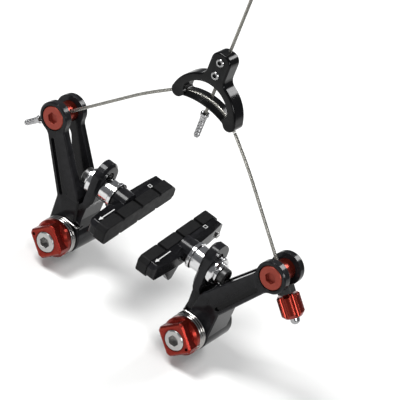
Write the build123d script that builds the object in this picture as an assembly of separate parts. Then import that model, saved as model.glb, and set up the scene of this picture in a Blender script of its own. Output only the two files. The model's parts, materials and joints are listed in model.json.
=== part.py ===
# Cantilever rim brake for a bicycle fork: two sprung arms, pads, straddle cable and hanger.
# Millimetres. X is across the wheel, -Y is forward and +Z is up.
# The origin lies midway between the two pivot bosses, in the plane that the pivots seat against.
import os
from math import acos, asin, atan2, cos, degrees, hypot, pi, radians, sin, tan

from build123d import *

os.makedirs("parts", exist_ok=True)

# Clearances
turning_gap = 0.05        # radial, a shaft that turns in a bore
fixed_gap = 0.05          # radial, a screw or cable held in a hole
running_gap = 0.3         # between faces that pass each other

# Pivots
pivot_spacing = 80.0
boss_diameter = 8.0       # the frame's boss, which the bush slides over
bush_diameter = 11.0
bush_length = 21.8
barrel_diameter = 19.5
barrel_rear = -0.4
bolt_thread = 5.8
bolt_shank = 7.0          # a shoulder that stops against the boss
bolt_thread_length = 17.0
bolt_head_diameter = 10.2
bolt_head_height = 3.5
bolt_socket = 5.0
bolt_tip_chamfer = 0.4

# Tension cap and spring
cap_flange_diameter = 18.8
cap_flange_thickness = 3.2
cap_flange_bevel = 1.2
cap_across_flats = 14.8
cap_corner_diameter = 18.8
cap_length = 7.5          # flange and grip together
cap_nose_diameter = 14.2
cap_hole = 1.6
cap_hole_inset = 2.1      # from the cap's rounded corner
spring_wire = 1.3
spring_coil_diameter = 17.9
spring_turns = 2.25
spring_pitch = 1.5
spring_space = 5.2
spring_leg = 3.0
spring_cap_leg = 1.6      # front leg's reach into the cap
spring_hole_x = -6.6      # where the spring's rear leg enters the arm, from the pivot
spring_hole_z = 8.6

# Arm
eye_x = 25.6              # anchor eye from the pivot
eye_z = 51.5
arm_front = -21.5
front_leg_thickness = 4.0
leg_gap = 9.0
rear_leg_thickness = 4.4
front_eye_diameter = 15.8
rear_eye_diameter = 15.8
leg_top_width = 9.6
rear_leg_top_width = 4.4  # the rear leg is slimmer, flush with the front one on the wheel's side
leg_foot_width = 12.6
leg_foot_x = 3.6          # centre of the wide end of the legs, from the pivot
leg_foot_z = 18.5
foot_shift = 1.6          # the legs meet the barrel a little outside its axis
foot_radius = 7.7
crotch_rise = 2.6611      # bottom of the gap between the legs, along them from their wide end
groove_width = 2.0
groove_depth = 1.0
groove_inset = 2.6
groove_start = 9.5
groove_length = 28.0
arm_edge = 0.6

# Pad ring, the slotted plate that carries the pad post
ring_inner_x = 31.0
ring_thickness = 4.8
ring_width = 15.2
ring_top = 44.4
ring_bevel = 5.0
ring_corner = 6.0
ring_edge = 1.2
foot_waist_z = 13.0       # the ring's foot is narrowest here
foot_low_z = 7.0
slot_bottom = 27.7
slot_top = 39.9

# Cable anchor in the eyes
anchor_diameter = 10.0
anchor_head_diameter = 12.0
anchor_head_height = 2.2
anchor_thread = 5.0
anchor_thread_length = 3.4
anchor_socket = 5.0
anchor_wall = 1.3         # closed wall behind the anchor in the rear eye
cross_hole = 2.3

# Pad and its post
post_diameter = 6.0
post_y = -13.2
post_z = 31.0
rim_face_x = 9.9
pad_length = 54.0
pad_height = 10.0
pad_pitch = 8.0
pad_shift_y = 1.0         # pad centre from the post, along the pad
pad_shift_z = -1.2
rubber_depth = 5.7
tongue_front_margin = 7.0 # from the pad's front end
tongue_rear_margin = 3.0
tongue_height = 5.4
tongue_depth = 1.8
tongue_gap = 0.1
notch_width = 1.8
notch_depth = 1.3
notch_pitch = 13.6
notch_count = 3
holder_depth = 6.2
holder_lip = 0.5          # how far the holder stands in from the rubber's outline
holder_end_depth = 4.4
holder_flat = 12.0        # length of the flat back about the post
holder_shoulder = 5.6     # depth halfway between the flat back and each end
holder_shoulder_inset = 10.5
holder_bevel = 1.8
holder_bevel_start = 2.0
holder_boss_diameter = 11.6
holder_boss_height = 1.7
holder_floor = 1.0        # thickness left in front of the post's head
fin_height = 7.6
fin_length = 12.5
fin_inset = 15.8          # from the pad's front end
fin_thickness = 2.4
fin_tip = 0.6             # fin's tip behind its middle
fin_set = 2.4             # fin's face behind the holder's front
retainer_diameter = 2.4
retainer_head = 3.2
retainer_inset = 5.5      # from the pad's rear end
retainer_drop = 2.4
retainer_length = 4.0
retainer_head_height = 1.4

# Washers and nut, along the post
dome_washer_diameter = 13.6
dome_washer_thickness = 1.6
inner_cup_diameter = 12.0
washer_sphere = 12.0      # radius of the seats that let the pad tilt
outer_cup_diameter = 14.6
outer_cup_thickness = 2.7
outer_dome_diameter = 10.4
outer_dome_thickness = 1.3
nut_diameter = 8.0
nut_length = 3.2
nut_socket = 4.0
washer_gap = 0.2
seat_gap = 0.06

# Hanger
hanger_y = -10.0
hanger_depth = 8.0
straddle_y = -11.2
main_y = -8.6
saddle_radius = 28.0
saddle_crest = 103.5      # height of the cable's centre over the saddle
saddle_angle = 39.7       # the cable leaves the saddle this far below level
saddle_bar = 3.0
bar_bottom_radius = 35.4
horn_inset = 2.9855       # horn's centre inward of the cable's mouth
horn_rise = 2.5568        # and above it
horn_radius = 3.3
arch_overhang = 0.1
arch_drop = 2.4           # arch's centre below the horns
arch_wall = 4.2           # beside the window
arch_crown = 3.5          # above the window
window_inset = 2.5        # window's side inward of the horn's centre
neck_width = 10.4
neck_margin = 4.4         # above the upper clamp screw
neck_corner = 4.2
neck_fillet = 4.5
horn_fillet = 2.0
hanger_edge = 0.9
clamp_screw_rise = 1.7    # lower screw above the arch
clamp_screw_pitch = 6.9
clamp_screw_head = 4.0
clamp_screw_shank = 2.9
clamp_screw_socket = 2.0
clamp_screw_proud = 0.5
clamp_screw_head_height = 1.6

# Cables
cable_diameter = 1.6
cable_joint_gap = 0.3     # between the saddle stretch and each run
bow_reach = 17.0          # stiff cable bends gently over twice this length beside the hanger
bow_share = 0.92          # how much of that length the bend's arc takes
main_cable_top = 166.0
main_tip_top = 94.8
main_tip_length = 13.6
tip_diameter = 3.4
tip_collar_diameter = 4.4
tip_collar_length = 1.6
head_diameter = 5.0
head_length = 6.0
left_tip_start = 14.5     # from the anchor's axis, along the cable
left_tip_length = 10.5
adjuster_start = 10.6
adjuster_length = 10.8
adjuster_diameter = 11.0
adjuster_flutes = 6
adjuster_flute_radius = 1.5
adjuster_thread = 5.0
adjuster_thread_start = 3.0
adjuster_seat_diameter = 5.4
adjuster_seat_depth = 2.6
lock_nut_flats = 7.4
lock_nut_start = 6.4
lock_nut_length = 3.6
nipple_diameter = 4.4
nipple_length = 5.6

# Worked-out places
pivot_x = pivot_spacing / 2
anchor_x = pivot_x + eye_x
leg_length = hypot(leg_foot_x - eye_x, leg_foot_z - eye_z)
front_gap_y = arm_front + front_leg_thickness
rear_gap_y = front_gap_y + leg_gap
arm_back = rear_gap_y + rear_leg_thickness
anchor_y = (front_gap_y + rear_gap_y) / 2
cap_back = arm_front - spring_space
cap_front = cap_back - cap_length
ring_outer_x = ring_inner_x + ring_thickness
saddle_z = saddle_crest - saddle_radius
cable_radius = cable_diameter / 2
spring_radius = spring_coil_diameter / 2
tongue_length = pad_length - tongue_front_margin - tongue_rear_margin
tongue_shift = (tongue_front_margin - tongue_rear_margin) / 2
holder_back_x = rim_face_x + rubber_depth + holder_depth
boss_face_x = holder_back_x + holder_boss_height

# The straddle cable leaves the saddle, bends gently, and runs straight to each anchor
cable_slope = radians(saddle_angle)
mouth = Vector(saddle_radius * sin(cable_slope), straddle_y, saddle_z + saddle_radius * cos(cable_slope))
anchor_point = Vector(anchor_x, anchor_y, eye_z)
exit_slant = (anchor_y - straddle_y) / (anchor_x - mouth.X)
exit_direction = Vector(cos(cable_slope), exit_slant, -sin(cable_slope)).normalized()
bow_point = mouth + exit_direction * bow_reach
run_direction = (anchor_point - bow_point).normalized()
run_length = (anchor_point - bow_point).length + bow_reach

# The hanger's horns, arch and window follow the cable's mouths
horn_x = mouth.X - horn_inset
horn_z = mouth.Z + horn_rise
arch_radius = horn_x + horn_radius + arch_overhang
arch_centre = horn_z - arch_drop
arch_top = arch_centre + arch_radius
window_radius = arch_radius - arch_wall
window_top = arch_top - arch_crown
window_half = horn_x - window_inset
clamp_screw_low = arch_top + clamp_screw_rise
neck_top = clamp_screw_low + clamp_screw_pitch + neck_margin


def rod(radius, start, end):
    """A round bar between two points."""
    line = end - start
    return extrude(Plane(origin=start, z_dir=line) * Circle(radius), amount=line.length)


def across(profile, front, back):
    """A profile drawn in X and Z, given its depth along Y."""
    return extrude(Plane.XZ.offset(-back) * profile, amount=back - front)


def along_y(x, z, radius, front, back):
    """A round bar along Y."""
    return across(Pos(x, z) * Circle(radius), front, back)


def along_x(y, z, radius, low, high):
    """A round bar along X."""
    return extrude(Plane.YZ.offset(low) * Pos(y, z) * Circle(radius), amount=high - low)


def on_run(distance):
    """A point on the right cable run, measured outward from the anchor's axis."""
    return anchor_point + run_direction * distance


def tapered(x1, z1, r1, x2, z2, r2):
    """The outline around two circles."""
    edges = (Pos(x1, z1) * Circle(r1)).edges() + (Pos(x2, z2) * Circle(r2)).edges()
    return make_hull(edges)


def pivot_bush():
    bush = along_y(pivot_x, 0, bush_diameter / 2, -bush_length, 0)
    return bush - along_y(pivot_x, 0, boss_diameter / 2 + turning_gap * 1.5, -bush_length, 0)


def mount_bolt():
    head_front = cap_front - 0.5
    head_back = head_front + bolt_head_height
    head = along_y(pivot_x, 0, bolt_head_diameter / 2, head_front, head_back)
    head = chamfer(head.edges().group_by(Axis.Y)[0], 0.5)
    socket = RegularPolygon(bolt_socket / 2, 6, major_radius=False)
    head -= across(Pos(pivot_x, 0) * socket, head_front, head_front + bolt_head_height - 0.8)
    shank = along_y(pivot_x, 0, bolt_shank / 2, head_back, -bolt_thread_length)
    thread = along_y(pivot_x, 0, bolt_thread / 2, -bolt_thread_length, 0)
    thread = chamfer(thread.edges().group_by(Axis.Y)[-1], bolt_tip_chamfer)
    return head + shank + thread


def tension_cap():
    flange = along_y(pivot_x, 0, cap_flange_diameter / 2, cap_back - cap_flange_thickness, cap_back)
    flange = chamfer(flange.edges().group_by(Axis.Y)[0], cap_flange_bevel)
    square = Rectangle(cap_across_flats, cap_across_flats, rotation=45)
    grip = across(Pos(pivot_x, 0) * (square & Circle(cap_corner_diameter / 2)), cap_front, cap_back)
    grip = chamfer(grip.edges().group_by(Axis.Y)[0], 0.8)
    nose = along_y(pivot_x, 0, cap_nose_diameter / 2, cap_back, -bush_length)
    cap = flange + grip + nose
    seat_back = cap_front - 0.5 + bolt_head_height
    cap -= along_y(pivot_x, 0, bolt_head_diameter / 2 + 0.25, cap_front, seat_back)
    cap -= along_y(pivot_x, 0, bolt_shank / 2 + fixed_gap, cap_front, -bush_length)
    corner_x = pivot_x + cap_corner_diameter / 2 - cap_hole_inset
    cap -= along_y(corner_x, 0, cap_hole / 2, cap_front, cap_front + 3)
    leg_x, leg_z = spring_start()
    return cap - along_y(leg_x, leg_z, spring_wire / 2 + 0.15, cap_back - spring_cap_leg - 0.2, cap_back)


def spring_end_angle():
    """Where the coil ends, so that its tangent meets the leg's hole in the arm."""
    hole_reach = hypot(spring_hole_x, spring_hole_z)
    return atan2(spring_hole_z, spring_hole_x) - acos(spring_radius / hole_reach)


def spring_start():
    """Where the coil begins, beside the cap."""
    angle = spring_end_angle() - radians(360 * spring_turns)
    return pivot_x + spring_radius * cos(angle), spring_radius * sin(angle)


def spring():
    """Wire coil whose front leg enters the cap and whose rear leg enters the arm."""
    wire = spring_wire / 2
    inner_wire = wire - 0.04
    overlap = 1.2 * wire
    lead = overlap / (2 * pi * spring_radius)
    height = (spring_turns + lead) * spring_pitch
    back = arm_front - (spring_space - spring_turns * spring_pitch) / 2
    end = spring_end_angle()
    begin = end - radians(360 * (spring_turns + lead))
    coil = Helix(spring_pitch, height, spring_radius, lefthand=True)
    frame = Plane(origin=(pivot_x, back - height, 0), x_dir=(cos(begin), 0, sin(begin)), z_dir=(0, 1, 0))
    path = frame * coil
    body = sweep(Plane(origin=path @ 0, z_dir=path % 0) * Circle(wire), path=path, is_frenet=True)
    start_x, start_z = spring_start()
    leg_top = Vector(start_x, back - spring_turns * spring_pitch, start_z)
    body += rod(inner_wire, leg_top, Vector(start_x, cap_back - spring_cap_leg, start_z))
    bend = Vector(pivot_x + spring_hole_x, back, spring_hole_z)
    tangent = Vector(-sin(end), 0, cos(end))
    coil_end = Vector(pivot_x + spring_radius * cos(end), back, spring_radius * sin(end))
    body += rod(inner_wire, coil_end - tangent * 0.5, bend)
    leg_front = Vector(bend.X, back - wire, bend.Z)
    return body + rod(wire, leg_front, Vector(bend.X, arm_front + spring_leg, bend.Z))


def arm_outline(eye_radius, top_width):
    """Front view of a leg, from the anchor eye down to the barrel."""
    down = leg_axis()
    shift = (leg_top_width - top_width) / 2
    top_x = anchor_x + down.Z * shift
    top_z = eye_z - down.X * shift
    leg = tapered(top_x, top_z, top_width / 2, pivot_x + leg_foot_x, leg_foot_z, leg_foot_width / 2)
    foot = tapered(pivot_x + leg_foot_x, leg_foot_z, leg_foot_width / 2, pivot_x + foot_shift, 0, foot_radius)
    eye = Pos(anchor_x, eye_z) * Circle(eye_radius)
    outline = leg + eye + foot
    joins = [v for v in outline.vertices() if near_eye(v, eye_radius)]
    return fillet(joins, 5.0)


def near_eye(vertex, eye_radius):
    """Whether a corner lies where a leg meets its eye."""
    return abs(hypot(vertex.X - anchor_x, vertex.Y - eye_z) - eye_radius) < 0.05


def legs():
    front = across(arm_outline(front_eye_diameter / 2, leg_top_width), arm_front, front_gap_y)
    rear = across(arm_outline(rear_eye_diameter / 2, rear_leg_top_width), rear_gap_y, arm_back)
    middle = across(arm_outline(leg_top_width / 2 + 0.5, leg_top_width), front_gap_y, rear_gap_y)
    rear = fillet(rear.edges().group_by(Axis.Y)[-1], 1.6)
    front = chamfer(front.edges().group_by(Axis.Y)[0], arm_edge)
    return front + rear + (middle - leg_space())


def leg_axis():
    """Unit vector down the legs, from the eye."""
    return Vector(leg_foot_x - eye_x, 0, leg_foot_z - eye_z).normalized()


def leg_space():
    """The gap between the two legs, round at the bottom."""
    down = leg_axis()
    side = Vector(-down.Z, 0, down.X)
    frame = Plane(origin=anchor_point, x_dir=down, z_dir=side)
    half = 20.0
    start = -rear_eye_diameter
    length = leg_length - crotch_rise - start - leg_gap / 2
    slab = Pos(start + length / 2, 0) * Rectangle(length, leg_gap)
    slab += Pos(start + length, 0) * Circle(leg_gap / 2)
    return extrude(frame * slab, amount=half, both=True)


def leg_groove():
    """The long groove in the front leg's face, beside its outer edge."""
    down = leg_axis()
    outward = Vector(-down.Z, 0, down.X)
    taper = atan2((leg_foot_width - leg_top_width) / 2, leg_length)
    inset = leg_top_width / 2 - groove_inset
    start = anchor_point + down * groove_start + outward * inset
    heading = down * cos(taper) + outward * sin(taper)
    centre = start + heading * (groove_length / 2)
    frame = Plane(origin=(centre.X, arm_front, centre.Z), x_dir=heading, z_dir=(0, 1, 0))
    return extrude(frame * SlotOverall(groove_length, groove_width), amount=groove_depth)


def pad_ring():
    """The slotted plate beside the rim, seen from the side."""
    front = post_y - ring_width / 2
    back = post_y + ring_width / 2
    plate = Polyline(
        (front, 0),
        (front, ring_top - ring_bevel),
        (front + ring_bevel, ring_top),
        (back - ring_bevel, ring_top),
        (back, ring_top - ring_bevel),
        (back, 0),
        close=True,
    )
    ring = extrude(Plane.YZ.offset(ring_inner_x) * make_face(plate), amount=pivot_x - ring_inner_x + 4)
    tops = ring.edges().filter_by(Axis.X).group_by(Axis.Z)
    ring = fillet(tops[-1] + tops[-2], ring_corner)
    wall = ring.faces().sort_by(Axis.X)[0]
    ring = chamfer(wall.edges().filter_by(Axis.Z).sort_by(Axis.Y)[0], ring_edge)
    ring &= across(ring_section(), front, back)
    slot_middle = (slot_top + slot_bottom) / 2
    slot = SlotOverall(slot_top - slot_bottom, post_diameter + 2 * running_gap, rotation=90)
    cut = Plane.YZ.offset(ring_inner_x) * Pos(post_y, slot_middle) * slot
    return ring, extrude(cut, amount=ring_thickness)


def ring_section():
    """Front view of the ring and of its foot, which narrows and then runs into the barrel."""
    seat_bottom = post_z - inner_cup_diameter / 2 - 0.6
    corner_z = slot_bottom - 6.0
    profile = Polyline(
        (ring_inner_x, ring_top),
        (ring_inner_x, seat_bottom),
        (ring_inner_x + 1.9, seat_bottom - 4.5),
        (ring_inner_x + 2.2, foot_waist_z),
        (ring_inner_x + 1.4, foot_low_z),
        (pivot_x, 0),
        (pivot_x + leg_foot_x, leg_foot_z - 3),
        (ring_outer_x + 1.8, corner_z - 2.4),
        (ring_outer_x, corner_z),
        (ring_outer_x, ring_top),
        close=True,
    )
    return make_face(profile)


def arm():
    ring, slot = pad_ring()
    body = legs() + ring
    barrel = along_y(pivot_x, 0, barrel_diameter / 2, arm_front, barrel_rear)
    body += chamfer(barrel.edges(), arm_edge)
    body -= slot
    body -= along_y(pivot_x, 0, bush_diameter / 2 + turning_gap, arm_front, barrel_rear)
    body -= leg_groove()
    bore = anchor_diameter / 2 + turning_gap
    body -= along_y(anchor_x, eye_z, bore, arm_front, arm_back - anchor_wall)
    head = anchor_head_diameter / 2 + 0.2
    body -= along_y(anchor_x, eye_z, head, arm_front, arm_front + anchor_head_height + 0.4)
    hole_x = pivot_x + spring_hole_x
    hole_back = arm_front + spring_leg + 0.5
    return body - along_y(hole_x, spring_hole_z, spring_wire / 2 + 0.15, arm_front, hole_back)


def anchor_barrel(stem_hole):
    front = arm_front + anchor_head_height
    back = arm_back - anchor_wall - running_gap
    barrel = along_y(anchor_x, eye_z, anchor_diameter / 2, front, back)
    barrel = chamfer(barrel.edges().group_by(Axis.Y)[-1], 0.5)
    barrel -= rod(cross_hole / 2, on_run(-anchor_diameter), on_run(anchor_diameter))
    tapped = anchor_thread / 2 + fixed_gap
    barrel -= along_y(anchor_x, eye_z, tapped, front, front + anchor_thread_length + 0.3)
    if stem_hole:
        stem = adjuster_thread / 2 + turning_gap
        barrel -= rod(stem, on_run(adjuster_thread_start - 0.5), on_run(anchor_diameter))
    return barrel


def anchor_bolt():
    back = arm_front + anchor_head_height
    head = along_y(anchor_x, eye_z, anchor_head_diameter / 2, arm_front, back)
    head = chamfer(head.edges().group_by(Axis.Y)[0], 0.5)
    head += along_y(anchor_x, eye_z, anchor_thread / 2, back, back + anchor_thread_length)
    socket = RegularPolygon(anchor_socket / 2, 6, major_radius=False)
    depth = anchor_head_height - 0.6
    return head - across(Pos(anchor_x, eye_z) * socket, arm_front, arm_front + depth)


def pitched(shape):
    """Turn a pad piece about the post, so that the pad lies along the rim."""
    return shape.rotate(Axis((0, post_y, post_z), (1, 0, 0)), pad_pitch)


def pad_outline(inset):
    """Side view of the pad in Y and Z, blunt in front and nosed behind."""
    middle_y = post_y + pad_shift_y
    middle_z = post_z + pad_shift_z
    half_l = pad_length / 2 - inset
    half_h = pad_height / 2 - inset
    nose = 4.0
    lead = 2.0
    points = Polyline(
        (middle_y - half_l, middle_z - half_h + lead),
        (middle_y - half_l, middle_z + half_h - lead),
        (middle_y - half_l + lead, middle_z + half_h),
        (middle_y + half_l - nose, middle_z + half_h),
        (middle_y + half_l, middle_z + half_h - nose),
        (middle_y + half_l, middle_z - half_h + lead),
        (middle_y + half_l - lead, middle_z - half_h),
        (middle_y - half_l + lead, middle_z - half_h),
        close=True,
    )
    return fillet(make_face(points).vertices(), 0.9)


def pad_rubber():
    back = rim_face_x + rubber_depth
    block = extrude(Plane.YZ.offset(rim_face_x) * pad_outline(0), amount=rubber_depth)
    block = chamfer(block.edges().group_by(Axis.X)[0], 0.5)
    middle_y = post_y + pad_shift_y
    middle_z = post_z + pad_shift_z
    for step in range(notch_count):
        y = middle_y + (step - (notch_count - 1) / 2) * notch_pitch
        for side in (-1, 1):
            notch = Plane.YZ.offset(rim_face_x) * Pos(y, middle_z + side * pad_height / 2)
            block -= extrude(notch * Rectangle(notch_width, 2 * notch_depth), amount=rubber_depth)
    tongue = Plane.YZ.offset(back) * Pos(middle_y + tongue_shift, middle_z)
    block += extrude(tongue * Rectangle(tongue_length, tongue_height), amount=tongue_depth)
    return pitched(block)


def pad_holder():
    front = rim_face_x + rubber_depth
    middle_z = post_z + pad_shift_z
    shell = extrude(Plane.YZ.offset(front) * pad_outline(holder_lip), amount=holder_depth)
    height = pad_height + 2
    shell &= extrude(Plane.XY.offset(middle_z - height / 2) * holder_lens(front), amount=height)
    half_height = pad_height / 2
    section = Polyline(
        (front, middle_z - half_height),
        (front + holder_bevel_start, middle_z - half_height),
        (front + holder_depth, middle_z - half_height + holder_bevel),
        (front + holder_depth, middle_z + half_height - holder_bevel),
        (front + holder_bevel_start, middle_z + half_height),
        (front, middle_z + half_height),
        close=True,
    )
    half = pad_length / 2
    middle_y = post_y + pad_shift_y
    shell &= across(make_face(section), middle_y - half, middle_y + half)
    shell += holder_fin(front)
    shell += along_x(post_y, post_z, holder_boss_diameter / 2, front + holder_floor, boss_face_x)
    channel = Rectangle(tongue_length + 2 * tongue_gap, tongue_height + 2 * tongue_gap)
    frame = Plane.YZ.offset(front) * Pos(middle_y + tongue_shift, middle_z)
    shell -= extrude(frame * channel, amount=tongue_depth + tongue_gap)
    shell -= along_x(post_y, post_z, post_diameter / 2 + fixed_gap, front + post_head_front(), boss_face_x)
    shell -= retainer_body(fixed_gap)
    return pitched(shell)


def holder_lens(front):
    """View of the holder from above: deepest about the post and shallow at its rounded ends."""
    middle_y = post_y + pad_shift_y
    half = pad_length / 2 - holder_lip
    corners = []
    for side in (-1, 1):
        corners += [
            (front, middle_y + side * half),
            (front + holder_end_depth, middle_y + side * half),
            (front + holder_shoulder, middle_y + side * (half - holder_shoulder_inset)),
            (front + holder_depth, post_y + side * holder_flat / 2),
        ]
    outline = Polyline(*corners[:4], *reversed(corners[4:]), close=True)
    lens = make_face(outline)
    return fillet([v for v in lens.vertices() if v.X > front + 0.1], 2.2)


def holder_fin(front):
    """The small fin under the holder."""
    top = post_z + pad_shift_z - pad_height / 2 + holder_lip
    middle_y = post_y + pad_shift_y - pad_length / 2 + fin_inset
    profile = Polyline(
        (middle_y - fin_length / 2, top + 1.5),
        (middle_y + fin_length / 2, top + 1.5),
        (middle_y + fin_length / 2 - 1.0, top - 0.8),
        (middle_y + fin_tip + 1.2, top - fin_height),
        (middle_y + fin_tip - 1.2, top - fin_height),
        (middle_y - fin_length / 2 + 1.0, top - 0.8),
        close=True,
    )
    fin = extrude(Plane.YZ.offset(front + fin_set) * make_face(profile), amount=fin_thickness)
    return fillet(fin.edges().filter_by(Axis.X).group_by(Axis.Z)[0], 1.0)


def post_head_front():
    """Depth of the post's buried end behind the holder's front face."""
    return tongue_depth + tongue_gap + holder_floor


def retainer_body(gap):
    """The screw that keeps the rubber in its holder, or its hole when a gap is given."""
    y = post_y + pad_shift_y + pad_length / 2 - retainer_inset
    z = post_z + pad_shift_z - retainer_drop
    front = rim_face_x + rubber_depth + tongue_depth + tongue_gap
    back = front + retainer_length
    body = along_x(y, z, retainer_diameter / 2 + gap, front, back)
    return body + along_x(y, z, retainer_head / 2 + gap, back - retainer_head_height, back)


def pad_retainer():
    screw = retainer_body(0)
    y = post_y + pad_shift_y + pad_length / 2 - retainer_inset
    z = post_z + pad_shift_z - retainer_drop
    back = rim_face_x + rubber_depth + tongue_depth + tongue_gap + retainer_length
    slot = Plane.YZ.offset(back - 0.7) * Pos(y, z) * Rectangle(retainer_head, 0.7)
    return pitched(screw - extrude(slot, amount=0.7))


def pad_post():
    front = rim_face_x + rubber_depth + post_head_front()
    back = nut_face_x() + nut_length - 1.0
    post = along_x(post_y, post_z, post_diameter / 2, front, back)
    return chamfer(post.edges().group_by(Axis.X)[-1], 0.6)


def dome_face_x():
    """Inner face of the dome washer, beside the holder's boss."""
    return boss_face_x + washer_gap


def nut_face_x():
    """Face of the nut that presses on the outer washers."""
    return ring_outer_x + washer_gap + outer_cup_thickness + outer_dome_thickness + washer_gap


def washer(bore, low, low_x, high, high_x):
    """A washer turned about the post. low_x and high_x give a face's x at its bore and at its rim."""
    inner = bore / 2 + turning_gap
    corners = [(low_x[0], inner), (low_x[1], low / 2), (high_x[1], high / 2), (high_x[0], inner)]
    sides = [Line(corners[1], corners[2]), Line(corners[3], corners[0])]
    sides += [seat_arc(corners[0], corners[1]), seat_arc(corners[2], corners[3])]
    face = make_face(Curve() + sides)
    axis = Axis((0, post_y, post_z), (1, 0, 0))
    return revolve(Pos(0, post_y, post_z) * face, axis, 360)


def seat_arc(start, end):
    """A flat face, or part of the round seat where its two ends differ in x."""
    if abs(start[0] - end[0]) < 0.001:
        return Line(start, end)
    middle_r = (start[1] + end[1]) / 2
    low, high = sorted((start, end), key=lambda point: point[1])
    bulge = (high[0] - low[0]) / (high[1] ** 2 - low[1] ** 2)
    middle_x = low[0] + bulge * (middle_r ** 2 - low[1] ** 2)
    return ThreePointArc(start, (middle_x, middle_r), end)


def inner_dome_washer():
    """Flat against the holder, round towards the cup."""
    flat = dome_face_x()
    rim = flat + dome_washer_thickness
    radius = dome_washer_diameter / 2
    return washer(post_diameter, 2 * radius, (flat, flat), 2 * radius, (rim + seat_rise(radius), rim))


def seat_rise(radius):
    """Depth of the round seat between the post and a washer's rim."""
    bore = post_diameter / 2 + turning_gap
    return (radius ** 2 - bore ** 2) / (2 * washer_sphere)


def inner_cup_washer():
    """Round seat towards the holder, flat against the ring."""
    radius = inner_cup_diameter / 2
    flat = ring_inner_x - washer_gap
    wide = dome_washer_diameter / 2
    top = dome_face_x() + dome_washer_thickness + seat_rise(wide) + seat_gap
    return washer(post_diameter, 2 * radius, (top, top - seat_rise(radius)), 2 * radius, (flat, flat))


def outer_cup_washer():
    """Flat against the ring, with the round seat outside."""
    radius = outer_cup_diameter / 2
    flat = ring_outer_x + washer_gap
    top = flat + outer_cup_thickness
    seat = outer_dome_diameter / 2 + 0.5
    bottom = top - seat_rise(seat)
    body = washer(post_diameter, 2 * seat, (flat, flat), 2 * seat, (bottom, top))
    skirt = along_x(post_y, post_z, radius, flat, top)
    skirt = chamfer(skirt.edges().group_by(Axis.X)[-1], 0.6)
    return body + (skirt - along_x(post_y, post_z, seat, flat, top))


def outer_dome_washer():
    """Round towards the cup, flat under the nut."""
    radius = outer_dome_diameter / 2
    flat = nut_face_x() - washer_gap
    seat = outer_dome_diameter / 2 + 0.5
    bottom = ring_outer_x + washer_gap + outer_cup_thickness - seat_rise(seat) + seat_gap
    return washer(post_diameter, 2 * radius, (bottom, bottom + seat_rise(radius)), 2 * radius, (flat, flat))


def pad_nut():
    face = nut_face_x()
    nut = along_x(post_y, post_z, nut_diameter / 2, face, face + nut_length)
    nut = chamfer(nut.edges().group_by(Axis.X)[-1], 0.6)
    nut -= along_x(post_y, post_z, post_diameter / 2 + fixed_gap, face, face + nut_length - 1.0)
    socket = RegularPolygon(nut_socket / 2, 6, major_radius=False)
    return nut - extrude(Plane.YZ.offset(face) * Pos(post_y, post_z) * socket, amount=nut_length)


def saddle_path():
    """Centre line of the cable over the saddle, from mouth to mouth."""
    frame = Plane.XZ.offset(-straddle_y)
    points = (-mouth.X, mouth.Z), (0, saddle_crest), (mouth.X, mouth.Z)
    return frame * ThreePointArc(*points)


def hanger_outline():
    """Front view of the hanger: neck, arch, two horns and the saddle bar."""
    horns = [Pos(side * horn_x, horn_z) * Circle(horn_radius) for side in (-1, 1)]
    bar_low = saddle_crest - saddle_bar
    lens = Pos(0, arch_centre) * Circle(arch_radius)
    lens -= Pos(0, bar_low - bar_bottom_radius) * Circle(bar_bottom_radius)
    lens &= Pos(0, horn_z + arch_radius) * Rectangle(4 * arch_radius, 2 * arch_radius)
    bar = Pos(0, bar_low - bar_bottom_radius) * Circle(bar_bottom_radius + saddle_bar)
    bar -= Pos(0, bar_low - bar_bottom_radius) * Circle(bar_bottom_radius)
    bar &= Pos(0, horn_z) * Rectangle(2 * horn_x, 4 * horn_radius)
    neck_low = arch_centre + arch_radius - 4
    neck_height = neck_top - neck_low
    neck = Pos(0, neck_low + neck_height / 2) * Rectangle(neck_width, neck_height)
    neck = fillet(neck.vertices().group_by(Axis.Y)[-1], neck_corner)
    outline = lens + bar + horns[0] + horns[1] + neck
    joins = [v for v in outline.vertices() if abs(v.X) < 1.2 * neck_width and v.Y > arch_centre + 5]
    outline = fillet([v for v in joins if v.Y < neck_top - neck_corner - 2], neck_fillet)
    joins = [v for v in outline.vertices() if v.Y < arch_centre + arch_radius / 2]
    return fillet(joins, horn_fillet)


def hanger_window():
    """The opening under the arch, down to the saddle."""
    opening = Pos(0, window_top - window_radius) * Circle(window_radius)
    opening &= Pos(0, window_top) * Rectangle(2 * window_half, 4 * window_radius)
    opening -= Pos(0, saddle_z) * Circle(saddle_radius)
    return fillet(opening.vertices(), 1.0)


def hanger_body():
    front = hanger_y - hanger_depth / 2
    back = hanger_y + hanger_depth / 2
    body = across(hanger_outline(), front, back)
    body = fillet(body.edges().group_by(Axis.Y)[0] + body.edges().group_by(Axis.Y)[-1], hanger_edge)
    body -= across(hanger_window(), front, back)
    body -= saddle_slope(front, straddle_y - cable_radius - 0.5)
    path = saddle_path()
    channel = Plane(origin=path @ 0, z_dir=path % 0) * Circle(cable_radius + fixed_gap)
    body -= sweep(channel, path=path)
    hole = cable_radius + fixed_gap
    body -= rod(hole, Vector(0, main_y, saddle_z), Vector(0, main_y, neck_top))
    for z in clamp_screw_heights():
        body -= along_y(0, z, clamp_screw_head / 2 + 0.1, front, front + clamp_screw_head_height)
        body -= along_y(0, z, clamp_screw_shank / 2 + fixed_gap, front, main_y)
    return body


def saddle_slope(front, back):
    """Bevel that lowers the saddle bar's front lip, under the window."""
    depth = 1.7
    corners = (front, saddle_radius - depth), (back, saddle_radius), (front, saddle_radius)
    face = Plane.YZ * Pos(0, saddle_z) * make_face(Polyline(*corners, close=True))
    turn = degrees(asin(window_half / saddle_radius)) * 0.92
    axis = Axis((0, 0, saddle_z), (0, 1, 0))
    return revolve(face.rotate(axis, -turn), axis, 2 * turn)


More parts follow.
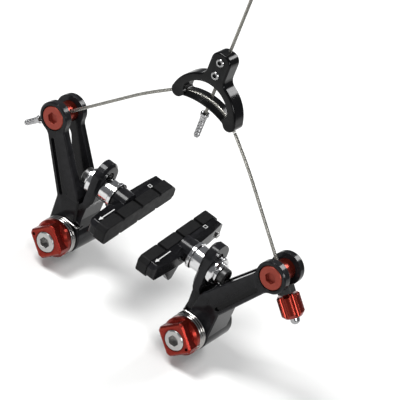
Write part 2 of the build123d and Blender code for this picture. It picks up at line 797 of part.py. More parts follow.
def clamp_screw_heights():
    return clamp_screw_low, clamp_screw_low + clamp_screw_pitch


def hanger_screws():
    front = hanger_y - hanger_depth / 2
    tip = main_y - cable_radius - fixed_gap
    screws = []
    for z in clamp_screw_heights():
        head_back = front + clamp_screw_head_height
        head = along_y(0, z, clamp_screw_head / 2, front - clamp_screw_proud, head_back)
        head = chamfer(head.edges().group_by(Axis.Y)[0], 0.3)
        socket = RegularPolygon(clamp_screw_socket / 2, 6, major_radius=False)
        head -= across(Pos(0, z) * socket, front - clamp_screw_proud, head_back - 0.5)
        screws.append(head + along_y(0, z, clamp_screw_shank / 2, head_back, tip))
    return Compound(children=screws)


def straddle_middle():
    path = saddle_path()
    return sweep(Plane(origin=path @ 0, z_dir=path % 0) * Circle(cable_radius), path=path)


def straddle_run(end):
    """One straight stretch of straddle cable, from the hanger's mouth to a distance past the anchor."""
    start = mouth + exit_direction * cable_joint_gap
    path = FilletPolyline(start, bow_point, on_run(end), radius=[bow_radius()])
    return sweep(Plane(origin=path @ 0, z_dir=path % 0) * Circle(cable_radius), path=path)


def bow_radius():
    """Radius of the gentle bend beside the hanger."""
    turn = radians(exit_direction.get_angle(run_direction))
    return bow_share * (bow_reach - cable_joint_gap) / tan(turn / 2)


def cable_tip(start, direction, length):
    """A crimped cap on a cable's cut end, with a collar at its open side."""
    end = start + direction * length
    body = rod(tip_diameter / 2, start, end)
    frame = Plane(origin=start, z_dir=direction)
    body = fillet(body.edges().sort_by(Axis(start, direction))[-1], tip_diameter * 0.35)
    body += extrude(frame * Circle(tip_collar_diameter / 2), amount=tip_collar_length)
    return body - rod(cable_radius + fixed_gap, start, start + direction * (length - 2))


def main_cable():
    low = main_tip_top - main_tip_length + 2 + fixed_gap
    return rod(cable_radius, Vector(0, main_y, low), Vector(0, main_y, main_cable_top))


def main_cable_head():
    """The cast head that ends the main cable at the lever's side."""
    start = Vector(0, main_y, main_cable_top - head_length + 1)
    head = rod(head_diameter / 2, start, start + Vector(0, 0, head_length))
    head = chamfer(head.edges().group_by(Axis.Z)[0] + head.edges().group_by(Axis.Z)[-1], 0.4)
    return head - rod(cable_radius + fixed_gap, start, start + Vector(0, 0, head_length - 1 + fixed_gap))


def barrel_adjuster():
    start = on_run(adjuster_start)
    end = on_run(adjuster_start + adjuster_length)
    frame = Plane(origin=start, x_dir=(0, 1, 0), z_dir=run_direction)
    grip = Circle(adjuster_diameter / 2)
    for index in range(adjuster_flutes):
        angle = 360 * index / adjuster_flutes
        grip -= Rot(0, 0, angle) * Pos(adjuster_diameter / 2 + 0.35, 0) * Circle(adjuster_flute_radius)
    body = extrude(frame * grip, amount=adjuster_length)
    shape = Solid.make_cone(adjuster_diameter / 2 - 0.8, adjuster_diameter / 2 + 4.2, 5, plane=frame)
    lower = Plane(origin=end, z_dir=run_direction * -1)
    taper = Solid.make_cone(adjuster_diameter / 2 - 1.6, adjuster_diameter / 2 + 3.4, 5, plane=lower)
    middle = rod(adjuster_diameter, on_run(adjuster_start + 5), on_run(adjuster_start + adjuster_length - 5))
    body &= shape + middle + taper
    body += rod(adjuster_thread / 2, on_run(adjuster_thread_start), start)
    seat = adjuster_start + adjuster_length - adjuster_seat_depth
    body -= rod(adjuster_seat_diameter / 2, on_run(seat), end)
    return body - rod(cross_hole / 2, on_run(0), end)


def lock_nut():
    start = on_run(lock_nut_start)
    frame = Plane(origin=start, x_dir=(0, 1, 0), z_dir=run_direction)
    hexagon = RegularPolygon(lock_nut_flats / 2, 6, major_radius=False)
    nut = extrude(frame * hexagon, amount=lock_nut_length)
    return nut - rod(adjuster_thread / 2 + turning_gap, start, on_run(lock_nut_start + lock_nut_length))


def cable_nipple():
    seat = adjuster_start + adjuster_length - adjuster_seat_depth + running_gap
    start = on_run(seat)
    body = rod(nipple_diameter / 2, start, on_run(seat + nipple_length))
    body = fillet(body.edges().sort_by(Axis(start, run_direction))[-1], nipple_diameter * 0.42)
    return body - rod(cable_radius + fixed_gap, start, on_run(seat + nipple_length - 1.2))


def one_side():
    """The pieces that both sides have, drawn on the right."""
    return {
        "arm": arm(),
        "pivot_bush": pivot_bush(),
        "mount_bolt": mount_bolt(),
        "tension_cap": tension_cap(),
        "spring": spring(),
        "anchor_bolt": anchor_bolt(),
        "pad_holder": pad_holder(),
        "pad_rubber": pad_rubber(),
        "pad_retainer": pad_retainer(),
        "pad_post": pad_post(),
        "inner_dome_washer": inner_dome_washer(),
        "inner_cup_washer": inner_cup_washer(),
        "outer_cup_washer": outer_cup_washer(),
        "outer_dome_washer": outer_dome_washer(),
        "pad_nut": pad_nut(),
    }


def mirrored(shape):
    return mirror(shape, about=Plane.YZ)


def write(name, shape):
    export_step(shape, f"parts/{name}.step")


def build():
    for name, shape in one_side().items():
        write(f"right_{name}", shape)
        write(f"left_{name}", mirrored(shape))
    write("right_anchor_barrel", anchor_barrel(True))
    write("left_anchor_barrel", mirrored(anchor_barrel(False)))

    tip_start = on_run(left_tip_start)
    left_end = left_tip_start + left_tip_length - 2 - fixed_gap
    write("straddle_cable_left", mirrored(straddle_run(left_end)))
    write("straddle_cable_tip", mirrored(cable_tip(tip_start, run_direction, left_tip_length)))
    write("straddle_cable_middle", straddle_middle())
    nipple_seat = adjuster_start + adjuster_length - adjuster_seat_depth + running_gap
    write("straddle_cable_right", straddle_run(nipple_seat + nipple_length - 1.2 - fixed_gap))
    write("straddle_cable_nipple", cable_nipple())
    write("barrel_adjuster", barrel_adjuster())
    write("adjuster_lock_nut", lock_nut())

    write("hanger_body", hanger_body())
    write("hanger_screws", hanger_screws())
    write("main_cable", main_cable())
    write("main_cable_tip", cable_tip(Vector(0, main_y, main_tip_top), Vector(0, 0, -1), main_tip_length))
    write("main_cable_head", main_cable_head())
    print(f"saddle arc radius {saddle_radius:.1f}, gentle bend radius {bow_radius():.1f}")
    print(f"mouth {mouth}; bend's corner {bow_point}; run direction {run_direction}")
    print(f"each run is {run_length:.2f} long from the mouth to the anchor's axis")


build()
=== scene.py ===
import json
import math

import bpy
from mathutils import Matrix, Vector


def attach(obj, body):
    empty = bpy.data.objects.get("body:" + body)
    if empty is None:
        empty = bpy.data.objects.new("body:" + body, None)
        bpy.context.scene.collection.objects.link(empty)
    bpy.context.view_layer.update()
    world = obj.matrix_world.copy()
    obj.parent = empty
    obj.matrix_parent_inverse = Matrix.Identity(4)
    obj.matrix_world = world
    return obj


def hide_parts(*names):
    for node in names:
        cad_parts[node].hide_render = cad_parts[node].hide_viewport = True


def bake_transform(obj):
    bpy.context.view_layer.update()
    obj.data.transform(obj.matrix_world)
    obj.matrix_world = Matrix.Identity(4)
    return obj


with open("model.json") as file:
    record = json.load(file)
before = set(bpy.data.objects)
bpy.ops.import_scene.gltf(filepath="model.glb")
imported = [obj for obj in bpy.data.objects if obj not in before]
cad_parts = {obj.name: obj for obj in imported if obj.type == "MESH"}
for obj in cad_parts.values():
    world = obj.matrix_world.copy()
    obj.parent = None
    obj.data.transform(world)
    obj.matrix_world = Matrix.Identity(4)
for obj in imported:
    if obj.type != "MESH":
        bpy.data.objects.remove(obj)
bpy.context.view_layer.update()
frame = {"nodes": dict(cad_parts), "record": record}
nodes = frame["nodes"]
print("stage: frame loaded,", len(nodes), "nodes")

splineFineness = 64


def newMesh(name, points, faces, smooth=True):
    mesh = bpy.data.meshes.new(name)
    mesh.from_pydata([tuple(point) for point in points], [], faces)
    mesh.validate()
    obj = bpy.data.objects.new(name, mesh)
    bpy.context.scene.collection.objects.link(obj)
    for polygon in mesh.polygons:
        polygon.use_smooth = smooth
    return obj


def mirrored(point):
    return Vector((-point.x, point.y, point.z))


def lengthsAlong(line):
    lengths = [0.0]
    for first, second in zip(line, line[1:]):
        lengths.append(lengths[-1] + (second - first).length)
    return lengths


def evenly(line, steps):
    # The same line, with its points at even distances.
    lengths = lengthsAlong(line)
    result = []
    index = 0
    for step in range(steps + 1):
        wanted = lengths[-1] * step / steps
        while index < len(line) - 2 and lengths[index + 1] < wanted:
            index += 1
        span = lengths[index + 1] - lengths[index]
        share = (wanted - lengths[index]) / span if span > 0 else 0.0
        result.append(line[index].lerp(line[index + 1], min(max(share, 0.0), 1.0)))
    return result


def smoothRoute(points, steps):
    # One open NURBS spline through the route, read back as evenly spaced points.
    curve = bpy.data.curves.new("route", "CURVE")
    curve.dimensions = "3D"
    curve.resolution_u = splineFineness
    spline = curve.splines.new("NURBS")
    spline.points.add(len(points) - 1)
    for target, point in zip(spline.points, points):
        target.co = (point[0], point[1], point[2], 1.0)
    spline.order_u = 3
    spline.use_endpoint_u = True
    holder = bpy.data.objects.new("route", curve)
    bpy.context.scene.collection.objects.link(holder)
    bpy.context.view_layer.update()
    settled = holder.evaluated_get(bpy.context.evaluated_depsgraph_get())
    mesh = bpy.data.meshes.new_from_object(settled)
    line = [vertex.co.copy() for vertex in mesh.vertices]
    bpy.data.objects.remove(holder)
    bpy.data.curves.remove(curve)
    bpy.data.meshes.remove(mesh)
    return evenly(line, steps)


def framesAlong(line):
    # Two side vectors at each point, carried along without twist.
    tangents = []
    for index in range(len(line)):
        before = line[max(index - 1, 0)]
        after = line[min(index + 1, len(line) - 1)]
        tangents.append((after - before).normalized())
    side = tangents[0].orthogonal().normalized()
    result = []
    for tangent in tangents:
        side = (side - tangent * side.dot(tangent)).normalized()
        result.append((side, tangent.cross(side)))
    return result


def aroundPoint(centre, side, other, turn, reach):
    return centre + (side * math.cos(turn) + other * math.sin(turn)) * reach


def tubePoints(centres, radius, sides, frames):
    points = []
    for centre, (side, other) in zip(centres, frames):
        for corner in range(sides):
            points.append(aroundPoint(centre, side, other, 2 * math.pi * corner / sides, radius))
    return points


def tubeFaces(rings, sides, start=0):
    faces = []
    for ring in range(rings - 1):
        for corner in range(sides):
            low = start + ring * sides
            high = low + sides
            following = (corner + 1) % sides
            faces.append((low + corner, low + following, high + following, high + corner))
    faces.append(tuple(start + corner for corner in reversed(range(sides))))
    faces.append(tuple(start + (rings - 1) * sides + corner for corner in range(sides)))
    return faces


# What a look has unless it says otherwise. The scales of the edge chips and of the smears are times
# the patches'. The edge chips carry wear and a painted edge highlight.
usualLook = {
    "specular": 0.5, "patchDetail": 5.0, "edgeChipAndGlintScale": 6, "edgeChipAndGlintDetail": 8.0, "edgeWearAndHighlightStart": 0.53,
    "edgeWearAndHighlightWidth": 0.06, "smearScale": 2.5, "smearDetail": 3.0, "polishLow": 0.75, "polishHigh": 1.3,
    "grainDetail": 4.0, "grainStretch": (1.0, 1.0, 1.0), "bumpDepth": 0.00005,
    "edgeRadius": 0.0003, "edgeSamples": 4,
}


def nodeMaterial(name, ownLook):
    # Colour in patches, a lighter colour in chips on the edges that is partly wear and partly a
    # painted edge highlight, smears in the polish, and a fine grain.
    look = {**usualLook, **ownLook}
    material = bpy.data.materials.new(name)
    material.use_nodes = True
    tree = material.node_tree
    link = tree.links.new
    shader = tree.nodes["Principled BSDF"]
    base = (*look["colour"], 1.0)
    shader.inputs["Base Color"].default_value = base
    shader.inputs["Metallic"].default_value = look["metallic"]
    shader.inputs["Roughness"].default_value = look["roughness"]
    shader.inputs["Specular IOR Level"].default_value = look["specular"]
    place = tree.nodes.new("ShaderNodeTexCoord").outputs["Object"]

    def noise(vector, scale, detail):
        node = tree.nodes.new("ShaderNodeTexNoise")
        node.inputs["Scale"].default_value = scale
        node.inputs["Detail"].default_value = detail
        link(vector, node.inputs["Vector"])
        return node.outputs["Fac"]

    def towards(colour, factor):
        node = tree.nodes.new("ShaderNodeMix")
        node.data_type = "RGBA"
        node.inputs["B"].default_value = (*colour, 1.0)
        link(factor, node.inputs["Factor"])
        return node

    def product(value):
        node = tree.nodes.new("ShaderNodeMath")
        node.operation = "MULTIPLY"
        link(value, node.inputs[0])
        return node

    patches = noise(place, look["patchScale"], look["patchDetail"])
    tint = towards(look["secondColour"], patches)
    tint.inputs["A"].default_value = base

    # Painted edge highlight along with wear: convex edges, found by pointiness and broken into
    # chips, turn towards a lighter colour.
    edges = tree.nodes.new("ShaderNodeNewGeometry")
    edgeRamp = tree.nodes.new("ShaderNodeValToRGB")
    edgeRamp.color_ramp.elements[0].position = look["edgeWearAndHighlightStart"]
    edgeRamp.color_ramp.elements[1].position = look["edgeWearAndHighlightStart"] + look["edgeWearAndHighlightWidth"]
    link(edges.outputs["Pointiness"], edgeRamp.inputs["Fac"])
    edgeWearAndHighlight = product(edgeRamp.outputs["Color"])
    link(noise(place, look["patchScale"] * look["edgeChipAndGlintScale"], look["edgeChipAndGlintDetail"]), edgeWearAndHighlight.inputs[1])
    edgeWearAndHighlightShare = product(edgeWearAndHighlight.outputs[0])
    edgeWearAndHighlightShare.inputs[1].default_value = look["edgeWearAndHighlight"]
    wornAndHighlit = towards(look["edgeWearAndHighlightColour"], edgeWearAndHighlightShare.outputs[0])
    link(tint.outputs["Result"], wornAndHighlit.inputs["A"])
    link(wornAndHighlit.outputs["Result"], shader.inputs["Base Color"])

    polish = tree.nodes.new("ShaderNodeMapRange")
    polish.inputs["To Min"].default_value = look["roughness"] * look["polishLow"]
    polish.inputs["To Max"].default_value = min(look["roughness"] * look["polishHigh"], 1.0)
    smears = noise(place, look["patchScale"] * look["smearScale"], look["smearDetail"])
    link(smears, polish.inputs["Value"])
    link(polish.outputs["Result"], shader.inputs["Roughness"])

    stretch = tree.nodes.new("ShaderNodeMapping")
    stretch.inputs["Scale"].default_value = look["grainStretch"]
    link(place, stretch.inputs["Vector"])
    softEdge = tree.nodes.new("ShaderNodeBevel")
    softEdge.samples = look["edgeSamples"]
    softEdge.inputs["Radius"].default_value = look["edgeRadius"]
    bump = tree.nodes.new("ShaderNodeBump")
    bump.inputs["Strength"].default_value = look["bump"]
    bump.inputs["Distance"].default_value = look["bumpDepth"]
    link(softEdge.outputs["Normal"], bump.inputs["Normal"])
    grain = noise(stretch.outputs["Vector"], look["grainScale"], look["grainDetail"])
    link(grain, bump.inputs["Height"])
    link(bump.outputs["Normal"], shader.inputs["Normal"])
    return material


# Most looks have an edge colour lighter than their own colour. It is a painted edge highlight as
# well as wear.
looks = {
    "forgedBlack": {
        "colour": (0.0018, 0.0018, 0.0021), "secondColour": (0.0036, 0.0036, 0.0042),
        "edgeWearAndHighlightColour": (0.10, 0.10, 0.11), "metallic": 0.0, "roughness": 0.13, "specular": 0.15,
        "patchScale": 60, "grainScale": 700, "bump": 0.05, "edgeWearAndHighlight": 0.18,
    },
    "hangerBlack": {
        "colour": (0.0020, 0.0020, 0.0022), "secondColour": (0.0038, 0.0038, 0.0042),
        "edgeWearAndHighlightColour": (0.08, 0.08, 0.08), "metallic": 0.0, "roughness": 0.12, "specular": 0.15,
        "patchScale": 80, "grainScale": 900, "bump": 0.04, "edgeWearAndHighlight": 0.15,
    },
    "redAnodised": {
        "colour": (0.225, 0.014, 0.008), "secondColour": (0.145, 0.009, 0.006),
        "edgeWearAndHighlightColour": (0.50, 0.10, 0.06), "metallic": 0.85, "roughness": 0.25,
        "patchScale": 90, "grainScale": 1500, "bump": 0.08, "edgeWearAndHighlight": 0.35,
    },
    "redHead": {
        "colour": (0.245, 0.036, 0.021), "secondColour": (0.190, 0.024, 0.015),
        "edgeWearAndHighlightColour": (0.50, 0.15, 0.10), "metallic": 0.65, "roughness": 0.36,
        "patchScale": 110, "grainScale": 1500, "bump": 0.10, "edgeWearAndHighlight": 0.4,
    },
    "padRubber": {
        "colour": (0.0025, 0.0025, 0.0028), "secondColour": (0.0048, 0.0048, 0.0052),
        "edgeWearAndHighlightColour": (0.035, 0.035, 0.035), "metallic": 0.0, "roughness": 0.50, "specular": 0.10,
        "patchScale": 120, "grainScale": 2200, "bump": 0.4, "edgeWearAndHighlight": 0.3, "bumpDepth": 0.0001,
    },
    "holderBlack": {
        "colour": (0.0014, 0.0014, 0.0016), "secondColour": (0.0030, 0.0030, 0.0034),
        "edgeWearAndHighlightColour": (0.09, 0.09, 0.10), "metallic": 0.0, "roughness": 0.14, "specular": 0.16,
        "patchScale": 100, "grainScale": 1400, "bump": 0.08, "edgeWearAndHighlight": 0.2,
    },
    "blackSteel": {
        "colour": (0.010, 0.010, 0.010), "secondColour": (0.017, 0.017, 0.017),
        "edgeWearAndHighlightColour": (0.20, 0.20, 0.20), "metallic": 0.6, "roughness": 0.32,
        "patchScale": 150, "grainScale": 1600, "bump": 0.12, "edgeWearAndHighlight": 0.4,
    },
    "cableSteel": {
        "colour": (0.24, 0.235, 0.21), "secondColour": (0.16, 0.155, 0.135),
        "edgeWearAndHighlightColour": (0.55, 0.54, 0.50), "metallic": 0.9, "roughness": 0.27,
        "patchScale": 200, "grainScale": 2500, "bump": 0.1, "edgeWearAndHighlight": 1.2, "edgeWearAndHighlightStart": 0.50,
        "edgeRadius": 0.00002,
    },
    "crimpedAlloy": {
        "colour": (0.42, 0.42, 0.42), "secondColour": (0.28, 0.28, 0.29),
        "edgeWearAndHighlightColour": (0.80, 0.80, 0.80), "metallic": 1.0, "roughness": 0.22,
        "patchScale": 150, "grainScale": 1800, "bump": 0.25, "edgeWearAndHighlight": 0.4, "edgeRadius": 0.0001,
    },
    "springSteel": {
        "colour": (0.36, 0.35, 0.34), "secondColour": (0.28, 0.27, 0.26),
        "edgeWearAndHighlightColour": (0.8, 0.8, 0.8), "metallic": 1.0, "roughness": 0.16,
        "patchScale": 150, "grainScale": 2000, "bump": 0.08, "edgeWearAndHighlight": 0.3, "edgeRadius": 0.0001,
    },
    "washerSteel": {
        "colour": (0.62, 0.62, 0.62), "secondColour": (0.52, 0.52, 0.53),
        "edgeWearAndHighlightColour": (0.88, 0.88, 0.88), "metallic": 1.0, "roughness": 0.14,
        "patchScale": 80, "grainScale": 1800, "bump": 0.08, "edgeWearAndHighlight": 0.3,
        "grainStretch": (6.0, 1.0, 1.0), "edgeRadius": 0.0002,
    },
    "boltSteel": {
        "colour": (0.46, 0.455, 0.445), "secondColour": (0.36, 0.355, 0.345),
        "edgeWearAndHighlightColour": (0.85, 0.85, 0.84), "metallic": 0.95, "roughness": 0.24,
        "patchScale": 110, "grainScale": 1600, "bump": 0.12, "edgeWearAndHighlight": 0.4, "edgeRadius": 0.0002,
    },
    "screwSteel": {
        "colour": (0.26, 0.26, 0.26), "secondColour": (0.19, 0.19, 0.19),
        "edgeWearAndHighlightColour": (0.75, 0.75, 0.75), "metallic": 1.0, "roughness": 0.22,
        "patchScale": 160, "grainScale": 1800, "bump": 0.12, "edgeWearAndHighlight": 0.5, "edgeRadius": 0.0001,
    },
    "whitePrint": {
        "colour": (0.70, 0.70, 0.69), "secondColour": (0.58, 0.58, 0.57),
        "edgeWearAndHighlightColour": (0.3, 0.3, 0.3), "metallic": 0.0, "roughness": 0.5,
        "patchScale": 300, "grainScale": 2500, "bump": 0.1, "edgeWearAndHighlight": 0.3, "edgeRadius": 0.00001,
    },
}
materials = {name: nodeMaterial(name, look) for name, look in looks.items()}

slotLooks = {
    "black_forging": "forgedBlack", "black_hanger": "hangerBlack", "red_metal": "redAnodised",
    "pad_rubber": "padRubber", "black_holder": "holderBlack", "black_steel": "blackSteel",
    "cable_steel": "cableSteel", "end_cap_metal": "crimpedAlloy", "spring_steel": "springSteel",
    "washer_steel": "washerSteel", "bolt_steel": "boltSteel",
}
ownLooks = {
    "left_anchor_bolt": "redHead", "right_anchor_bolt": "redHead", "hanger_screws": "screwSteel",
}
slotOf = {entry["node"]: entry["material_slot"] for entry in frame["record"]["subparts"]}
for name, obj in nodes.items():
    for slot in obj.material_slots:
        slot.material = materials[ownLooks.get(name, slotLooks[slotOf[name]])]
print("stage: materials on the frame")

# The cables' places are those of the part's source, in metres and degrees.
cable = {
    "diameter": 0.0016, "outerWires": 12, "wireFit": 1.04, "layLength": 0.011,
    "coreSides": 10, "wireSides": 6, "stepsPerMm": 1.4, "leastSteps": 12,
}
straddle = {
    "y": -0.0112, "slope": 39.7, "saddleRadius": 0.028, "saddleCentre": 0.0755, "saddleTurns": 8,
    "saddleOutward": 0.5, "bowReach": 0.017, "bowShare": 0.92, "jointGap": 0.0003,
    "rightEnd": 0.02345, "leftEnd": 0.02295,
}
mainCable = {"y": -0.0086, "low": 0.08325, "high": 0.166}
anchor = Vector((0.0656, -0.013, 0.0515))
slope = math.radians(straddle["slope"])


def onSaddle(turn, radius):
    height = straddle["saddleCentre"] + radius * math.cos(turn)
    return Vector((radius * math.sin(turn), straddle["y"], height))


# The run leaves the hanger's mouth on the saddle's slope, bows gently and goes on to the anchor.
mouth = onSaddle(slope, straddle["saddleRadius"])
sideways = (anchor.y - straddle["y"]) / (anchor.x - mouth.x)
leaving = Vector((math.cos(slope), sideways, -math.sin(slope))).normalized()
bowPoint = mouth + leaving * straddle["bowReach"]
along = (anchor - bowPoint).normalized()


def strandedCable(name, line):
    # A core with wires laid round it in a helix.
    frames = framesAlong(line)
    lengths = lengthsAlong(line)
    count = cable["outerWires"]
    radius = cable["diameter"] / 2
    wire = radius * math.sin(math.pi / count) / (1 + math.sin(math.pi / count)) * cable["wireFit"]
    lay = radius - wire
    points = tubePoints(line, lay, cable["coreSides"], frames)
    faces = tubeFaces(len(line), cable["coreSides"])
    for strand in range(count):
        start = len(points)
        centres = []
        for centre, distance, (side, other) in zip(line, lengths, frames):
            turn = 2 * math.pi * (strand / count + distance / cable["layLength"])
            centres.append(aroundPoint(centre, side, other, turn, lay))
        points += tubePoints(centres, wire, cable["wireSides"], frames)
        faces += tubeFaces(len(line), cable["wireSides"], start)
    return newMesh(name, points, faces)


def cableBetween(name, points, body, node):
    length = lengthsAlong(points)[-1]
    steps = max(int(length * 1000 * cable["stepsPerMm"]), cable["leastSteps"])
    line = smoothRoute(points, steps)
    piece = strandedCable(name, line)
    piece.data.materials.append(materials["cableSteel"])
    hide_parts(node)
    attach(piece, body)
    return piece, line


def runRoute(end):
    # From the hanger's mouth, through the bow, to a distance past the anchor.
    bend = straddle["bowShare"] * (straddle["bowReach"] - straddle["jointGap"])
    return [
        mouth + leaving * straddle["jointGap"], bowPoint - leaving * bend, bowPoint,
        bowPoint + along * bend, anchor + along * end,
    ]


rightRoute = runRoute(straddle["rightEnd"])
leftRoute = [mirrored(point) for point in runRoute(straddle["leftEnd"])]
cableBetween("rightRunStrands", rightRoute, "right_run", "straddle_cable_right")
cableBetween("leftRunStrands", leftRoute, "left_run", "straddle_cable_left")

# The points between the ends stand a little outside the saddle's arc, as its spline cuts inside.
turns = straddle["saddleTurns"]
stretch = 1 + (1 / math.cos(slope / turns) - 1) * straddle["saddleOutward"]
saddleRoute = []
for index in range(turns + 1):
    radius = straddle["saddleRadius"] * (1 if index in (0, turns) else stretch)
    saddleRoute.append(onSaddle(slope * (2 * index / turns - 1), radius))
cableBetween("saddleStrands", saddleRoute, "hanger", "straddle_cable_middle")

mainLow = Vector((0, mainCable["y"], mainCable["low"]))
mainHigh = Vector((0, mainCable["y"], mainCable["high"]))
mainRoute = [mainLow, (mainLow + mainHigh) / 2, mainHigh]
mainStrands, mainLine = cableBetween("mainCableStrands", mainRoute, "hanger", "main_cable")
print("stage: cables")

# Crimped caps on the two cut ends, pressed by knurled jaws. In rim, grip and nose each pair is a
# distance and a share of a radius, and nose's distances count back from the far end.
crimp = {
    "boreDepth": 0.0014, "boreRadius": 0.00085, "mouthDepth": 0.0001, "mouthRadius": 0.0013,
    "rim": ((0.0, 0.92), (0.0002, 1.0), (0.0013, 0.97)), "grip": ((0.0020, 1.0), (0.0030, 1.0)),
    "nose": ((0.0016, 0.93), (0.0006, 0.75), (0.0001, 0.40)), "sides": 48, "step": 0.00018,
    "jawStart": 0.0028, "jawEnd": 0.0014, "jawFade": 0.0006,
}
mainTip = {
    "start": Vector((0, mainCable["y"], 0.0948)), "axis": Vector((0, 0, -1)), "length": 0.0136,
    "radius": 0.0017, "rim": 0.0022, "bands": 5, "turns": 6, "depth": 0.30, "oval": 0.08,
}
straddleTip = {
    "start": mirrored(anchor + along * 0.0145), "axis": mirrored(along), "length": 0.0105,
    "radius": 0.0016, "rim": 0.0021, "bands": 3, "turns": 6, "depth": 0.30, "oval": 0.06,
}


def crimpProfile(tip):
    # Pairs of distance and radius, close enough together for the jaws' pattern.
    outline = [
        (crimp["boreDepth"], crimp["boreRadius"]), (crimp["mouthDepth"], crimp["mouthRadius"]),
        *((distance, tip["rim"] * share) for distance, share in crimp["rim"]),
        *((distance, tip["radius"] * share) for distance, share in crimp["grip"]),
        *((tip["length"] - back, tip["radius"] * share) for back, share in crimp["nose"]),
    ]
    profile = []
    for (distance, radius), (nextDistance, nextRadius) in zip(outline, outline[1:]):
        pieces = max(int(abs(nextDistance - distance) / crimp["step"]), 1)
        for step in range(pieces):
            share = step / pieces
            profile.append((
                distance + (nextDistance - distance) * share,
                radius + (nextRadius - radius) * share,
            ))
    return profile + [outline[-1]]


def crimpedTip(name, tip, body, node):
    axis = tip["axis"].normalized()
    side = axis.orthogonal().normalized()
    other = axis.cross(side)
    low = crimp["jawStart"]
    high = tip["length"] - crimp["jawEnd"]

    def pressed(distance, turn):
        # The share of the radius that the jaws leave.
        if not low < distance < high:
            return 1.0
        fade = min(1.0, (distance - low) / crimp["jawFade"], (high - distance) / crimp["jawFade"])
        wave = math.pi * tip["bands"] * (distance - low) / (high - low)
        lines = tip["turns"] / 2 * turn
        across = abs(math.sin(lines + wave) * math.sin(lines - wave))
        flat = 0.5 + 0.5 * math.cos(2 * turn)
        return 1.0 - fade * (tip["depth"] * across + tip["oval"] * flat)

    profile = crimpProfile(tip)
    points = []
    for distance, radius in profile:
        centre = tip["start"] + axis * distance
        for corner in range(crimp["sides"]):
            turn = 2 * math.pi * corner / crimp["sides"]
            reach = radius * pressed(distance, turn)
            points.append(aroundPoint(centre, side, other, turn, reach))
    piece = newMesh(name, points, tubeFaces(len(profile), crimp["sides"]))
    piece.data.materials.append(materials["crimpedAlloy"])
    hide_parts(node)
    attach(piece, body)
    return piece


mainTipPiece = crimpedTip("mainTipCrimp", mainTip, "hanger", "main_cable_tip")
crimpedTip("straddleTipCrimp", straddleTip, "left_run", "straddle_cable_tip")
print("stage: crimped tips")

# Springs, whose front legs sit in the caps and whose rear legs go into the arms.
springWire = {
    "pivotX": 0.040, "radius": 0.00895, "wire": 0.00065, "pitch": 0.0015, "turns": 2.25,
    "back": -0.0224125, "capEnd": -0.0283, "armEnd": -0.0185, "holeX": -0.0066, "holeZ": 0.0086,
    "capShare": 0.6, "armShare": 0.35, "pointsPerTurn": 24, "sides": 14, "steps": 320,
}
springFront = springWire["back"] - springWire["pitch"] * springWire["turns"]


def springRoute():
    # The front leg in the cap, the coil, and the rear leg straight off the coil into the arm.
    radius = springWire["radius"]
    holeX = springWire["holeX"]
    holeZ = springWire["holeZ"]
    back = springWire["back"]
    endTurn = math.atan2(holeZ, holeX) - math.acos(radius / math.hypot(holeX, holeZ))
    count = round(springWire["turns"] * springWire["pointsPerTurn"])
    outside = radius / math.cos(math.pi / springWire["pointsPerTurn"])
    coil = []
    for index in range(count + 1):
        share = index / count
        turn = endTurn - 2 * math.pi * springWire["turns"] * (1 - share)
        reach = radius if index in (0, count) else outside
        y = springFront + (back - springFront) * share
        coil.append(Vector((reach * math.cos(turn), y, reach * math.sin(turn))))
    capTip = Vector((coil[0].x, springWire["capEnd"], coil[0].z))
    capLeg = capTip.lerp(coil[0], springWire["capShare"])
    bend = Vector((holeX, back, holeZ))
    armTip = Vector((holeX, springWire["armEnd"], holeZ))
    armLeg = bend.lerp(armTip, springWire["armShare"])
    centre = Vector((springWire["pivotX"], 0, 0))
    return [centre + point for point in (capTip, capLeg, *coil, bend, armLeg, armTip)]


for sideName in ("left", "right"):
    route = springRoute()
    if sideName == "left":
        route = [mirrored(point) for point in route]
    line = smoothRoute(route, springWire["steps"])
    points = tubePoints(line, springWire["wire"], springWire["sides"], framesAlong(line))
    faces = tubeFaces(len(line), springWire["sides"])
    springPiece = newMesh(sideName + "SpringWire", points, faces)
    springPiece.data.materials.append(materials["springSteel"])
    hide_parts(sideName + "_spring")
    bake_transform(springPiece)
print("stage: springs")

# White fitting marks on the holders, without words: an arrow to the front, a small frame behind.
marks = {
    "middleX": 0.0171, "arrowTip": -0.0235, "arrowEnd": -0.0120, "headLength": 0.0024,
    "headWidth": 0.0018, "shaftWidth": 0.00045, "frameStart": 0.0135, "frameSize": 0.0019,
    "frameLine": 0.0003, "lift": 0.00003, "thickness": 0.00002,
}
holder = {"y": -0.0122, "z": 0.0298, "top": 0.0045, "postY": -0.0132, "postZ": 0.031, "turn": 8}


def onHolder(x, y, side):
    # A point on the holder's top face, turned with the pad about its post.
    turn = math.radians(holder["turn"])
    dy = holder["y"] + y - holder["postY"]
    dz = holder["z"] + holder["top"] + marks["lift"] - holder["postZ"]
    turnedY = holder["postY"] + dy * math.cos(turn) - dz * math.sin(turn)
    turnedZ = holder["postZ"] + dy * math.sin(turn) + dz * math.cos(turn)
    return Vector((side * x, turnedY, turnedZ))


def rectangle(x0, x1, y0, y1):
    return [(x0, y0), (x1, y0), (x1, y1), (x0, y1)]


def markOutlines():
    middle = marks["middleX"]
    tip = marks["arrowTip"]
    neck = tip + marks["headLength"]
    head = marks["headWidth"] / 2
    shaft = marks["shaftWidth"] / 2
    line = marks["frameLine"]
    start = marks["frameStart"]
    end = start + marks["frameSize"]
    near = middle - marks["frameSize"] / 2
    far = middle + marks["frameSize"] / 2
    return [
        [(middle, tip), (middle + head, neck), (middle - head, neck)],
        rectangle(middle - shaft, middle + shaft, neck, marks["arrowEnd"]),
        rectangle(near, far, start, start + line),
        rectangle(near, far, end - line, end),
        rectangle(near, near + line, start + line, end - line),
        rectangle(far - line, far, start + line, end - line),
    ]


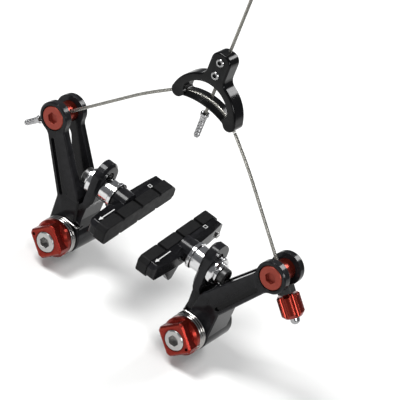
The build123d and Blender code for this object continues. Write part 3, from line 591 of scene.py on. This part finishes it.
for sideName, side in (("left", -1), ("right", 1)):
    points = []
    faces = []
    for corners in markOutlines():
        faces.append(tuple(range(len(points), len(points) + len(corners))))
        points += [onHolder(x, y, side) for x, y in corners]
    markPiece = newMesh(sideName + "HolderMarks", points, faces, False)
    thick = markPiece.modifiers.new("thickness", "SOLIDIFY")
    thick.thickness = marks["thickness"]
    thick.offset = 0
    markPiece.data.materials.append(materials["whitePrint"])
    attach(markPiece, sideName + "_pad")
print("stage: holder marks")

floorPlace = {"size": 6, "height": -0.014}
floorLook = {
    "colour": (0.82, 0.82, 0.81), "secondColour": (0.80, 0.80, 0.79), "edgeWearAndHighlightColour": (0.8, 0.8, 0.8),
    "metallic": 0.0, "roughness": 0.7, "patchScale": 4, "grainScale": 60, "bump": 0.02, "edgeWearAndHighlight": 0.0,
}
bpy.ops.mesh.primitive_plane_add(size=floorPlace["size"], location=(0, 0, floorPlace["height"]))
floor = bpy.context.object
floor.name = "floor"
floor.data.materials.append(nodeMaterial("floorPaint", floorLook))

surround = {"colour": (0.93, 0.95, 1.0, 1.0), "strength": 0.20}
world = bpy.context.scene.world or bpy.data.worlds.new("world")
bpy.context.scene.world = world
world.use_nodes = True
background = world.node_tree.nodes["Background"]
background.inputs["Color"].default_value = surround["colour"]
background.inputs["Strength"].default_value = surround["strength"]

lamps = {
    "keyLamp": {"place": (-0.35, -0.25, 0.75), "size": 0.32, "power": 7.8},
    "fillLamp": {"place": (0.7, -0.5, 0.45), "size": 0.25, "power": 3.2},
    "rimLamp": {"place": (0.15, 0.7, 0.5), "size": 0.30, "power": 4.6},
}
lampTarget = Vector((0, 0, 0.05))
for name, lamp in lamps.items():
    data = bpy.data.lights.new(name, "AREA")
    data.size = lamp["size"]
    data.energy = lamp["power"]
    obj = bpy.data.objects.new(name, data)
    obj.location = lamp["place"]
    obj.rotation_euler = (lampTarget - Vector(lamp["place"])).to_track_quat("-Z", "Y").to_euler()
    bpy.context.scene.collection.objects.link(obj)

# The camera that was fitted to the photograph.
photoView = {
    "place": (0.33665, -0.74214, 0.58128), "turns": (54.547, -18.684, 36.602), "sensor": 36,
    "lens": 189.1,
}
cameraData = bpy.data.cameras.new("photoCamera")
cameraData.sensor_width = photoView["sensor"]
cameraData.lens = photoView["lens"]
camera = bpy.data.objects.new("photoCamera", cameraData)
camera.location = photoView["place"]
camera.rotation_euler = [math.radians(angle) for angle in photoView["turns"]]
bpy.context.scene.collection.objects.link(camera)
bpy.context.scene.camera = camera
bpy.context.scene.view_settings.view_transform = "Standard"
print("stage: light and camera")
